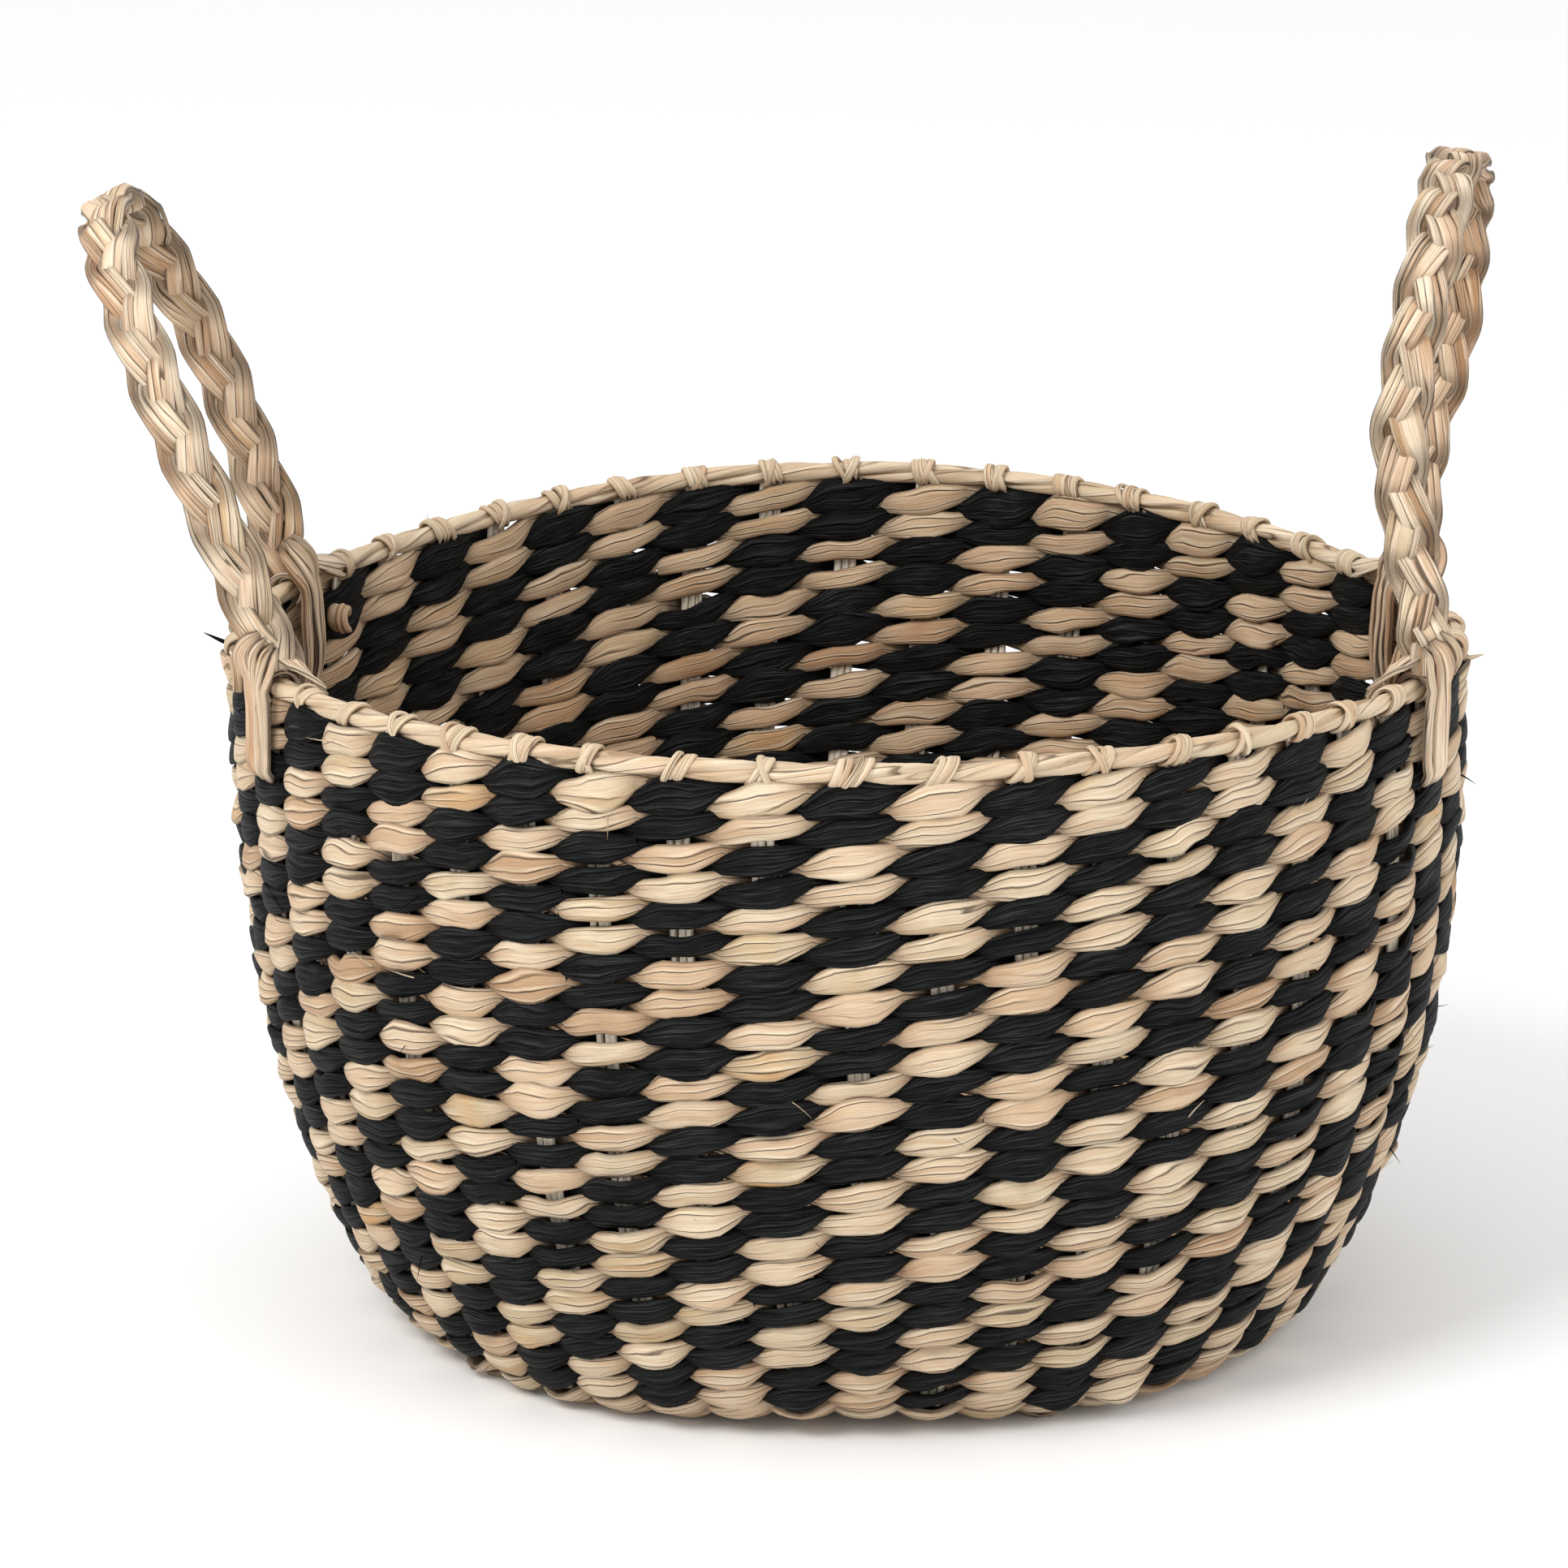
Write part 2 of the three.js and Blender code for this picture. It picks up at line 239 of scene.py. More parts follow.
def dent(angle, down, shift):
    """A smooth hand-made unevenness over the shell."""
    total = 0.0
    for waves, tall, start, size in DENTS:
        total = total + size * np.sin(waves * angle + tall * down + start + shift)
    return total


def out_of_round(angle, down):
    """How far the wall stands outside its circle: the rim's own shape and the pull of the tails."""
    near_rim = np.clip(1 - down / SHAPE_REACH, 0, 1) ** 1.5
    shape = (OVAL * np.cos(2 * angle) + SQUARE * np.cos(4 * angle)) * MM * near_rim
    for name, bulge in BULGES.items():
        away = np.cos(angle) * SIDES[name]
        beside = np.exp(-((1 - away) / BULGE_SPREAD))
        shape = shape + bulge * beside * np.clip(1 - down / BULGE_REACH, 0, 1)
    return shape


def shell(angle, down, outward=0.0):
    """Points on the shell, with the directions outward and up the wall."""
    flatness = np.clip((PROFILE_DOWN[-1] - down) / (140 * MM), 0, 1)
    outward = outward + dent(angle, down, 0.0) * flatness**2
    down = down + dent(angle, down, 1.7) * flatness * np.clip(down / (30 * MM), 0, 1)
    radius = np.interp(down, PROFILE_DOWN, PROFILE_RADIUS) + out_of_round(angle, down)
    height = np.interp(down, PROFILE_DOWN, PROFILE_HEIGHT)
    step = 2 * MM
    r_up = np.interp(down - step, PROFILE_DOWN, PROFILE_RADIUS)
    r_low = np.interp(down + step, PROFILE_DOWN, PROFILE_RADIUS)
    z_up = np.interp(down - step, PROFILE_DOWN, PROFILE_HEIGHT)
    z_low = np.interp(down + step, PROFILE_DOWN, PROFILE_HEIGHT)
    length = np.hypot(r_up - r_low, z_up - z_low)
    up_r, up_z = (r_up - r_low) / length, (z_up - z_low) / length
    radius = radius + outward * up_z
    height = height - outward * up_r
    height = height - SADDLE * np.cos(2 * angle) * (height / RIM_HEIGHT) ** 2
    cos, sin = np.cos(angle), np.sin(angle)
    points = np.stack([radius * cos, radius * sin, height], -1)
    out = np.stack([up_z * cos, up_z * sin, -up_r], -1)
    up = np.stack([up_r * cos, up_r * sin, up_z], -1)
    return points, out, up


def stake_angle(number, down):
    """Where a stake stands at a distance down from the rim."""
    wall_length = FIRST_ROW + WALL_ROWS * ROW_PITCH
    return -math.pi / 2 + number * STITCH + DRIFT * np.clip(down / wall_length, 0, 1)


# ---------------------------------------------------------------- meshes

class Sweep:
    """Collects swept strands and turns them into one mesh with fibre and shade attributes."""

    def __init__(self):
        self.verts, self.faces, self.fibre, self.shade = [], [], [], []
        self.count = 0

    def add(self, centres, across, outward, half_width, half_thick, seed, tone,
            sides=SECTION_SIDES, roll=0.0, warm=0.0, dark=0.0, shown=None, edge=0.62):
        """One strand: a flattened section carried along centres, with its width along across.

        edge shapes the section, from boxy below 1 to an ellipse at 1. shown is 1 where the outward
        face is in the open and -1 where the other face is; painted shade darkens the face against the
        stakes.
        """
        n = len(centres)
        along = distance_along(centres)
        _, wide, thick = directions(centres, across, outward)
        roll = np.broadcast_to(roll, n)[:, None]
        wide, thick = (
            wide * np.cos(roll) + thick * np.sin(roll),
            thick * np.cos(roll) - wide * np.sin(roll),
        )
        turn = np.arange(sides) * TURN / sides
        v = np.cos(turn)
        w = np.sign(np.sin(turn)) * np.abs(np.sin(turn)) ** edge
        half_width = np.broadcast_to(half_width, n)[:, None]
        half_thick = np.broadcast_to(half_thick, n)[:, None]
        grid = (
            centres[:, None]
            + wide[:, None] * (half_width * v)[..., None]
            + thick[:, None] * (half_thick * w)[..., None]
        )
        self.verts.append(grid.reshape(-1, 3))
        first = np.arange(n - 1)[:, None] * sides
        here, beside = np.arange(sides)[None], (np.arange(sides)[None] + 1) % sides
        corners = (first + here, first + beside, first + sides + beside, first + sides + here)
        self.faces.append(np.stack(corners, -1).reshape(-1, 4) + self.count)
        fibre = np.broadcast_arrays(along[:, None], v[None], np.float64(seed))
        self.fibre.append(np.stack(fibre, -1).reshape(-1, 3))
        tone = np.broadcast_to(tone, n)[:, None]
        warm = np.broadcast_to(warm, n)[:, None]
        dark = np.broadcast_to(dark, n)[:, None]
        # painted shade: the face turned in against the stakes is darkened, on top of dark, which is
        # painted shade as well
        if shown is not None:
            dark = dark + np.clip(-0.7 - 2.6 * shown[:, None] * w[None], 0, 1)
        shade = np.broadcast_arrays(tone, warm, dark, v[None])[:3]
        self.shade.append(np.stack(shade, -1).reshape(-1, 3))
        self.count += n * sides

    def fold_over(self, middle, outward, through, edge, face):
        """Fold whatever reaches past the edge round to the back of the face it came from."""
        turn = np.tanh(face / 0.35)[:, None]
        for index, grid in enumerate(self.verts):
            rings = grid.reshape(len(middle), -1, 3)
            reach = ((rings - middle[:, None]) * outward[:, None]).sum(-1)
            past = np.maximum(np.abs(reach) - edge[:, None], 0)
            moved = rings - outward[:, None] * (np.sign(reach) * past * 0.35)[..., None]
            moved = moved - through[:, None] * (turn * past * 0.45)[..., None]
            self.verts[index] = moved.reshape(-1, 3)

    def piece(self, name, body, slot, material, replaced=()):
        """The finished Blender object, riding on its CAD body."""
        verts = np.concatenate(self.verts)
        faces = np.concatenate(self.faces)
        verts[:, 2] = np.maximum(verts[:, 2], 0)
        mesh = bpy.data.meshes.new(name)
        mesh.vertices.add(len(verts))
        mesh.vertices.foreach_set("co", verts.ravel())
        mesh.loops.add(faces.size)
        mesh.loops.foreach_set("vertex_index", faces.ravel())
        mesh.polygons.add(len(faces))
        mesh.polygons.foreach_set("loop_start", np.arange(0, faces.size, 4))
        mesh.polygons.foreach_set("use_smooth", np.ones(len(faces), bool))
        mesh.update(calc_edges=True)
        for label, values in (("fibre", self.fibre), ("shade", self.shade)):
            attribute = mesh.attributes.new(label, "FLOAT_VECTOR", "POINT")
            attribute.data.foreach_set("vector", np.concatenate(values).ravel())
        mesh.materials.append(material)
        obj = bpy.data.objects.new(name, mesh)
        bpy.context.scene.collection.objects.link(obj)
        if body:
            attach(obj, body)
        if replaced:
            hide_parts(*replaced)
        return obj


def unit(vectors):
    return vectors / np.maximum(np.linalg.norm(vectors, axis=-1, keepdims=True), 1e-12)


def directions(centres, across, outward):
    """Along, across and through a flat strand at every centre."""
    tangent = unit(np.gradient(centres, axis=0))
    wide = unit(across - (across * tangent).sum(-1, keepdims=True) * tangent)
    thick = np.cross(tangent, wide)
    return tangent, wide, thick * np.sign((thick * outward).sum(-1, keepdims=True))


def distance_along(centres):
    steps = np.linalg.norm(np.diff(centres, axis=0), axis=1)
    return np.concatenate([[0], np.cumsum(steps)])


def uneven(along, spacing, size):
    """A random line with a new value at every spacing."""
    knots = np.arange(along[0] - spacing, along[-1] + 2 * spacing, spacing)
    return np.interp(along, knots + rng.uniform(0, spacing), rng.normal(0, size, len(knots)))


def blade_bundle(sweep, centres, across, outward, half_width, half_thick, blades, tone,
                 roll=0.0, loose=0.12, tips=None, warm=0.0, dark=0.0):
    """Flat blades lying side by side, each with its own width, colour and slight twist."""
    n = len(centres)
    along = distance_along(centres)
    _, wide, thick = directions(centres, across, outward)
    half_width = np.broadcast_to(half_width, n)
    shares = rng.uniform(0.5, 1.0, blades)
    shares[rng.integers(blades)] += 1.1
    borders = np.concatenate([[0], np.cumsum(shares)]) / shares.sum() * 2 - 1
    order = rng.permutation(blades)
    for number in range(blades):
        middle = (borders[number] + borders[number + 1]) / 2
        share = (borders[number + 1] - borders[number]) / 2
        middle = middle + uneven(along, 17 * MM, loose)
        stack = 0.28 * (1 - middle**2) + 0.22 * (order[number] / blades - 0.5)
        lift = half_thick * (stack + uneven(along, 21 * MM, 0.1))
        place = centres + wide * (middle * half_width)[:, None] + thick * lift[:, None]
        size = share * half_width * (1.3 + uneven(along, 25 * MM, 0.07))
        depth = np.full(n, 0.78 * half_thick)
        if tips is not None:
            size, depth = size * tips, depth * tips
        sweep.add(
            place, wide, thick, size, depth, rng.uniform(0, 50),
            tone + rng.normal(0, 0.14) + uneven(along, 30 * MM, 0.1),
            sides=10, roll=roll + uneven(along, 24 * MM, 0.14), warm=warm, dark=dark, edge=0.62,
        )


# ---------------------------------------------------------------- materials

def linear(red, green, blue):
    """A colour given as 0 to 255 screen values, as the linear values that shaders take."""
    return tuple(
        c / 12.92 if c <= 0.04045 else ((c + 0.055) / 1.055) ** 2.4
        for c in (red / 255, green / 255, blue / 255)
    ) + (1.0,)


class Nodes:
    """Short calls for the nodes a straw material needs."""

    def __init__(self, material):
        material.use_nodes = True
        self.tree = material.node_tree
        self.shader = self.tree.nodes["Principled BSDF"]

    def link(self, source, target):
        if isinstance(source, (int, float, tuple)):
            target.default_value = source
        else:
            self.tree.links.new(source, target)

    def math(self, operation, a, b=0.0, clamp=False):
        node = self.tree.nodes.new("ShaderNodeMath")
        node.operation = operation
        node.use_clamp = clamp
        self.link(a, node.inputs[0])
        self.link(b, node.inputs[1])
        return node.outputs[0]

    def attribute(self, name):
        node = self.tree.nodes.new("ShaderNodeAttribute")
        node.attribute_name = name
        split = self.tree.nodes.new("ShaderNodeSeparateXYZ")
        self.link(node.outputs["Vector"], split.inputs[0])
        return split.outputs

    def noise(self, x, y, z, detail=2.0):
        join = self.tree.nodes.new("ShaderNodeCombineXYZ")
        for value, socket in zip((x, y, z), join.inputs):
            self.link(value, socket)
        node = self.tree.nodes.new("ShaderNodeTexNoise")
        node.inputs["Scale"].default_value = 1.0
        node.inputs["Detail"].default_value = detail
        self.link(join.outputs[0], node.inputs["Vector"])
        return node.outputs["Fac"]

    def ramp(self, value, stops):
        node = self.tree.nodes.new("ShaderNodeValToRGB")
        elements = node.color_ramp.elements
        while len(elements) < len(stops):
            elements.new(0.5)
        for element, (position, colour) in zip(elements, stops):
            element.position = position
            element.color = colour if isinstance(colour, tuple) else (colour,) * 3 + (1.0,)
        self.link(value, node.inputs[0])
        return node.outputs[0]

    def mix(self, factor, a, b, blend="MIX"):
        node = self.tree.nodes.new("ShaderNodeMix")
        node.data_type = "RGBA"
        node.blend_type = blend
        self.link(factor, node.inputs["Factor"])
        self.link(a, node.inputs[6])
        self.link(b, node.inputs[7])
        return node.outputs[2]


def straw_material(name, palette, light, streak, shade_colour, stain, warm, blades, roughness, bump,
                   specular=0.35, edge_shade=0.5, streak_mix=0.36, streak_span=(0.38, 0.6)):
    """Dry plant strands: overlapping blades with fine grain along their length, with painted shade
    and painted highlights.
    """
    material = bpy.data.materials.new(name)
    n = Nodes(material)
    along, across, seed = n.attribute("fibre")
    tone, warmth, dark = n.attribute("shade")
    seed = n.math("MULTIPLY", seed, 17.3)
    bend = n.noise(n.math("MULTIPLY", along, 24), n.math("MULTIPLY", across, 0.7), seed, 1.0)
    place = n.math("ADD", n.math("MULTIPLY", across, blades / 2), n.math("MULTIPLY", bend, 2.4))
    place = n.math("ADD", place, seed)
    blade = n.math("FRACT", place)
    number = n.math("MULTIPLY", n.math("FLOOR", place), 7.7)
    tint = n.noise(n.math("MULTIPLY", along, 7), number, seed, 0.0)
    opening = n.noise(n.math("MULTIPLY", along, 34), number, seed, 1.0)
    grain = n.noise(n.math("MULTIPLY", along, 55), n.math("MULTIPLY", across, 12), seed, 3.0)
    hairs = n.noise(n.math("MULTIPLY", along, 110), n.math("MULTIPLY", across, 40), seed, 1.0)
    blotch = n.noise(n.math("MULTIPLY", along, 45), n.math("MULTIPLY", across, 1.3), seed, 2.0)
    shift = n.math("MULTIPLY", n.math("SUBTRACT", tint, 0.5), 0.7)
    base = n.ramp(n.math("ADD", tone, shift, clamp=True), palette)
    # painted warm shade: warmth, which the strands set inside the wall, at the crossings, on the back
    # legs and on the inner tails, mixes in the warm colour
    base = n.mix(n.math("MULTIPLY", warmth, 0.8, clamp=True), base, warm)
    stained = n.ramp(blotch, [(0.5, 0.0), (0.75, 1.0)])
    base = n.mix(n.math("MULTIPLY", stained, 0.5), base, stain)
    streaks = n.ramp(grain, [(streak_span[0], 1.0), (streak_span[1], 0.0)])
    base = n.mix(n.math("MULTIPLY", streaks, streak_mix), base, streak)
    fine = n.ramp(hairs, [(0.32, 1.0), (0.5, 0.0)])
    base = n.mix(n.math("MULTIPLY", fine, 0.3), base, streak)
    open_here = n.ramp(opening, [(0.4, 0.0), (0.52, 1.0)])
    # painted highlight: the light colour laid along each blade's crest where the creases open
    crest_highlight = n.ramp(blade, [(0.1, 0.0), (0.2, 1.0), (0.45, 0.0)])
    base = n.mix(n.math("MULTIPLY", n.math("MULTIPLY", crest_highlight, open_here), 0.5), base, light)
    # painted shade: dark lines in the gaps where the blades part
    line = n.ramp(blade, [(0.0, 1.0), (0.05, 0.9), (0.11, 0.0), (0.955, 0.0), (1.0, 1.0)])
    line = n.math("MULTIPLY", line, open_here)
    base = n.mix(n.math("MULTIPLY", line, 0.82), base, shade_colour)
    # painted shade: every strand darkens towards its edges, where it meets its neighbours
    rim = n.ramp(n.math("ABSOLUTE", across), [(0.78, 0.0), (1.0, edge_shade)])
    base = n.mix(rim, base, shade_colour)
    # painted shade: dark, set at the crossings, tucks, folds, tail ends and hidden faces
    base = n.mix(n.math("MULTIPLY", dark, 0.9, clamp=True), base, shade_colour)
    n.link(base, n.shader.inputs["Base Color"])
    low, high = roughness
    n.link(n.math("ADD", n.math("MULTIPLY", grain, high - low), low), n.shader.inputs["Roughness"])
    n.shader.inputs["Specular IOR Level"].default_value = specular
    lift = n.ramp(blade, [(0.0, 0.0), (0.12, 0.8), (0.85, 1.0), (1.0, 0.0)])
    depth = n.math("ADD", n.math("MULTIPLY", open_here, 0.75), 0.25)
    lift = n.math("MULTIPLY", n.math("SUBTRACT", lift, 1.0), depth)
    height = n.math("ADD", lift, n.math("MULTIPLY", grain, 0.55))
    height = n.math("ADD", height, n.math("MULTIPLY", hairs, 0.22))
    node = n.tree.nodes.new("ShaderNodeBump")
    node.inputs["Strength"].default_value = bump
    node.inputs["Distance"].default_value = 0.8 * MM
    n.link(height, node.inputs["Height"])
    n.link(node.outputs[0], n.shader.inputs["Normal"])
    return material


NATURAL_PALETTE = [
    (0.0, linear(176, 144, 112)),
    (0.2, linear(206, 180, 150)),
    (0.42, linear(216, 196, 168)),
    (0.6, linear(220, 204, 176)),
    (0.78, linear(192, 176, 144)),
    (0.92, linear(200, 171, 131)),
    (1.0, linear(194, 153, 106)),
]
PLAIT_PALETTE = [
    (0.0, linear(166, 124, 90)),
    (0.2, linear(204, 168, 134)),
    (0.42, linear(237, 215, 187)),
    (0.6, linear(243, 227, 201)),
    (0.78, linear(224, 203, 168)),
    (1.0, linear(202, 160, 114)),
]
BLACK_PALETTE = [
    (0.0, linear(5, 4, 4)),
    (0.5, linear(8, 8, 8)),
    (0.8, linear(10, 11, 11)),
    (1.0, linear(18, 18, 21)),
]
# In each material below, light is the painted highlight colour, warm the painted warm shade and the
# darkest one the painted shade.
natural_straw = straw_material(
    "natural_straw", NATURAL_PALETTE, light=linear(240, 224, 196), streak=linear(164, 126, 88),
    shade_colour=linear(46, 29, 16), stain=linear(196, 160, 118), warm=linear(190, 142, 100),
    blades=3.0, roughness=(0.45, 0.8), bump=0.9, edge_shade=0.62,
)
black_straw = straw_material(
    "black_straw", BLACK_PALETTE, light=linear(54, 56, 56), streak=linear(72, 74, 74),
    shade_colour=linear(3, 2, 1), stain=linear(20, 22, 23), warm=linear(10, 9, 8),
    blades=3.2, roughness=(0.4, 0.75), bump=1.2, specular=0.07, streak_mix=0.55,
    streak_span=(0.33, 0.43),
)
stake_straw = straw_material(
    "stake_straw", [(0.0, linear(222, 210, 192)), (1.0, linear(240, 230, 212))],
    light=linear(240, 230, 212), streak=linear(190, 172, 146), shade_colour=linear(120, 100, 76),
    stain=linear(214, 198, 174), warm=linear(214, 190, 156), blades=1.2,
    roughness=(0.45, 0.7), bump=0.4,
)
rim_straw = straw_material(
    "rim_straw", NATURAL_PALETTE, light=linear(242, 228, 202), streak=linear(176, 138, 98),
    shade_colour=linear(84, 58, 36), stain=linear(206, 172, 130), warm=linear(190, 138, 92),
    blades=1.5, roughness=(0.4, 0.72), bump=0.6, edge_shade=0.3,
)
plait_straw = straw_material(
    "plait_straw", PLAIT_PALETTE, light=linear(248, 234, 210), streak=linear(160, 118, 80),
    shade_colour=linear(42, 26, 14), stain=linear(188, 144, 104), warm=linear(184, 134, 90),
    blades=2.2, roughness=(0.42, 0.76), bump=0.9, edge_shade=0.9, streak_mix=0.4,
)


# ---------------------------------------------------------------- twined rows

def twined_strand(sweep, down, starts_outside, stitches, tone, size=1.0, inside_size=1.0,
                  steps=STEPS_PER_STITCH, sides=SECTION_SIDES):
    """One of a row's two strands: a leaf outside one stake and inside the next, and so on round."""
    seam = (rng.integers(stitches) + 0.5) * steps
    place = (np.arange(stitches * steps + 1) + seam) / steps
    phase = place * math.pi + (0 if starts_outside else math.pi)
    shown = np.cos(phase)
    stitch = np.floor(place + 0.5).astype(int)
    vary = {
        kind: rng.normal(0, spread, stitches)[stitch % stitches]
        for kind, spread in (
            ("shift", 0.55 * MM), ("lift", 0.35 * MM), ("roll", 0.22), ("width", 0.12),
            ("upper", 0.22), ("lower", 0.22),
        )
    }
    tones = tone + rng.normal(0, 0.2, stitches)
    over_stake = shown**2
    from_stake = (place - stitch) * np.where((stitch % 2 == 0) == starts_outside, 2, -2)
    growth = size * (1 + vary["width"] * over_stake + (inside_size - 1) * np.clip(-shown, 0, 1))
    upper, lower = vary["upper"] * over_stake, vary["lower"] * over_stake
    above = np.interp(from_stake - upper, LEAF_PLACES, LEAF_EDGE) * growth
    below = np.interp(-from_stake - lower, LEAF_PLACES, LEAF_EDGE) * growth
    depth = STRAND_DEPTH * np.sign(shown) * np.abs(shown) ** 0.8
    centres, out, up = shell(
        stake_angle(place * STAKES / stitches, down),
        down + vary["shift"] * over_stake - (above - below) / 2,
        depth + vary["lift"] * over_stake,
    )
    half_thick = CROSSING_HALF_THICK + (PASS_HALF_THICK - CROSSING_HALF_THICK) * over_stake
    sweep.add(
        centres, up, out, (above + below) / 2, half_thick, rng.uniform(0, 50),
        np.interp(place, np.arange(2 * stitches), np.tile(tones, 2)), sides=sides,
        roll=vary["roll"] * over_stake,
        # painted shade: warmer on the inside pass and at the crossings, darker at the crossings and on
        # the face hidden against the stakes
        warm=np.clip(-shown, 0, 1) * 0.5 + 0.4 * (1 - np.abs(shown)),
        dark=0.4 * (1 - np.abs(shown)) ** 2, shown=shown, edge=0.72,
    )


def build_wall():
    """Pairs of courses, each as a natural and a black piece, from the rim down."""
    courses = WALL_ROWS // ROWS_PER_COURSE
    for first in range(0, courses, COURSES_PER_PIECE):
        natural, black = Sweep(), Sweep()
        band = range(first, first + COURSES_PER_PIECE)
        for course in band:
            for row in range(ROWS_PER_COURSE):
                number = course * ROWS_PER_COURSE + row
                down = FIRST_ROW + number * ROW_PITCH
                size = FIRST_ROW_SIZE if number == 0 else 1.0
                natural_first = course % 2 == 1
                twined_strand(
                    natural, down, natural_first, STAKES, rng.uniform(0.3, 0.6), size,
                    NATURAL_INSIDE_SIZE,
                )
                twined_strand(
                    black, down, not natural_first, STAKES, rng.uniform(0.2, 0.7), size,
                    BLACK_INSIDE_SIZE,
                )
        numbers = [courses - course for course in band]
        label = f"{numbers[-1]:02d}_{numbers[0]:02d}"
        for sweep, colour, material in (
            (natural, "natural", natural_straw),
            (black, "black", black_straw),
        ):
            sweep.piece(
                f"{colour}_weft_{label}", "basket", f"{colour}_straw", material,
                [f"{colour}_weft_{number:02d}" for number in numbers],
            )


def build_base():
    """All-natural rows from the foot of the wall to the middle of the base."""
    border, mat = Sweep(), Sweep()
    down = FIRST_ROW + WALL_ROWS * ROW_PITCH
    border_end = PROFILE_DOWN[-1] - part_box("base_mat_lower")[1].y
    while down < PROFILE_DOWN[-1] - ROW_PITCH / 2:
        radius = PROFILE_DOWN[-1] - down
        stitches = STAKES if radius > 90 * MM else 24 if radius > 42 * MM else 12
        sweep = border if down < border_end else mat
        for starts_outside in (True, False):
            twined_strand(
                sweep, down, starts_outside, stitches, rng.uniform(0.3, 0.6),
                steps=BASE_STEPS_PER_STITCH, sides=BASE_SECTION_SIDES,
            )
        down += ROW_PITCH
    for order in range(HUB_REEDS):
        turn = math.pi * order / HUB_REEDS
        heading = np.array([math.cos(turn), math.sin(turn), 0])
        centres = np.linspace(-HUB_REACH, HUB_REACH, 14)[:, None] * heading
        centres[:, 2] = HUB_HEIGHT + order * HUB_STACK
        mat.add(
            centres, np.broadcast_to(np.cross((0, 0, 1), heading), centres.shape),
            np.broadcast_to((0.0, 0.0, 1.0), centres.shape), HUB_HALF_WIDTH, HUB_HALF_THICK,
            order * 7.0, 0.45, sides=8,
        )
    border.piece(
        "base_border_weft", "basket", "natural_straw", natural_straw,
        ["base_border_outer", "base_border_inner"],
    )
    mat.piece(
        "base_mat_weft", "basket", "natural_straw", natural_straw,
        ["base_mat_lower", "base_mat_upper"],
    )


def build_stakes():
    """The stakes from near the hub to the rim cord, each a flat bunch of reeds."""
    stakes = Sweep()
    downs = np.linspace(0, PROFILE_DOWN[-1] - STAKE_STOP, 90)
    for number in range(STAKES):
        spread = np.clip((PROFILE_DOWN[-1] - downs) / (150 * MM), 0.25, 1)
        for reed in range(REEDS):
            offset = (reed - (REEDS - 1) / 2) * REED_SPACING * spread
            offset = offset + uneven(downs, 40 * MM, 0.25 * MM)
            angle = stake_angle(number, downs)
            radius = np.maximum(np.interp(downs, PROFILE_DOWN, PROFILE_RADIUS), 20 * MM)
            centres, out, up = shell(angle + offset / radius, downs)
            stakes.add(
                centres, np.cross(out, up), out, REED_HALF_WIDTH, REED_HALF_WIDTH * 0.7,
                rng.uniform(0, 50), rng.uniform(0.35, 0.6), sides=6,
            )
    stakes.piece("stakes", "basket", "natural_straw", stake_straw, ["stake_cage"])


# ---------------------------------------------------------------- rim

def rim_spots(around, spin, reach):
    """Spots round the rim cord's own middle line: spin 0 is outward and a quarter turn is up."""
    middle, out, up = shell(around, np.zeros_like(around))
    away = out * np.cos(spin)[:, None] + up * np.sin(spin)[:, None]
    return middle + away * np.broadcast_to(reach, len(around))[:, None], away, np.cross(up, out)


def build_rim():
    """Two strands twisted together round the rim, bound by three or four wraps at every stake."""
    cord = Sweep()
    count = STAKES * CORD_STEPS_PER_STITCH
    around = -math.pi / 2 + np.arange(count + 1) / CORD_STEPS_PER_STITCH * STITCH
    pinch = 1 - 0.2 * np.cos((around + math.pi / 2) * STAKES / 2) ** 16
    for strand in range(RIM_STRANDS):
        spin = around * STAKES / 4 + strand * TURN / RIM_STRANDS
        reach = (CORD_REACH + uneven_round(around, 0.3 * MM)) * pinch
        centres, away, along_rim = rim_spots(around, spin, reach)
        cord.add(
            centres, np.cross(along_rim, away), away, CORD_HALF_WIDTH * pinch,
            CORD_HALF_THICK * pinch, rng.uniform(0, 50), 0.45 + uneven_round(around, 0.16),
            sides=14, edge=0.85,
        )
    cord.piece("rim_strands", "basket", "natural_straw", rim_straw, ["rim_cord"])

    knots = Sweep()
    for number in range(STAKES):
        middle = -math.pi / 2 + number * STITCH + rng.normal(0, 0.7) * MM / RIM_RADIUS
        bands = rng.integers(3, 5)
        for band in range(bands):
            last = band == bands - 1 and rng.random() < 0.5
            spin = np.linspace(-0.7 * math.pi, 1.3 * math.pi, WRAP_STEPS) + rng.normal(0, 0.3)
            tilt = (rng.uniform(-2.6, -0.6) if last else rng.uniform(1.2, 3.2)) * MM
            beside = (band - (bands - 2) / 2) * WRAP_SPACING
            offset = rng.normal(0, 0.8) * MM if last else beside
            slide = offset + tilt * np.sin(spin) + np.linspace(-0.7, 0.7, WRAP_STEPS) * MM
            reach = (WRAP_REACH + 0.5 * last + rng.normal(0, 0.25)) * MM
            reach = reach + np.linspace(0, 0.7, WRAP_STEPS) * MM
            centres, away, along_rim = rim_spots(middle + slide / RIM_RADIUS, spin, reach)
            steps = np.arange(WRAP_STEPS)
            ends = np.clip(np.minimum(steps, steps[::-1]) / 2, 0.25, 1)
            knots.add(
                centres, along_rim, away, rng.uniform(1.0, 1.7) * MM * ends,
                rng.uniform(0.6, 0.85) * MM * ends, rng.uniform(0, 50), rng.uniform(0.2, 0.75),
                sides=10, roll=rng.normal(0, 0.15), edge=0.85,
            )
    knots.piece("rim_knots", "basket", "natural_straw", rim_straw, ["rim_lashing"])


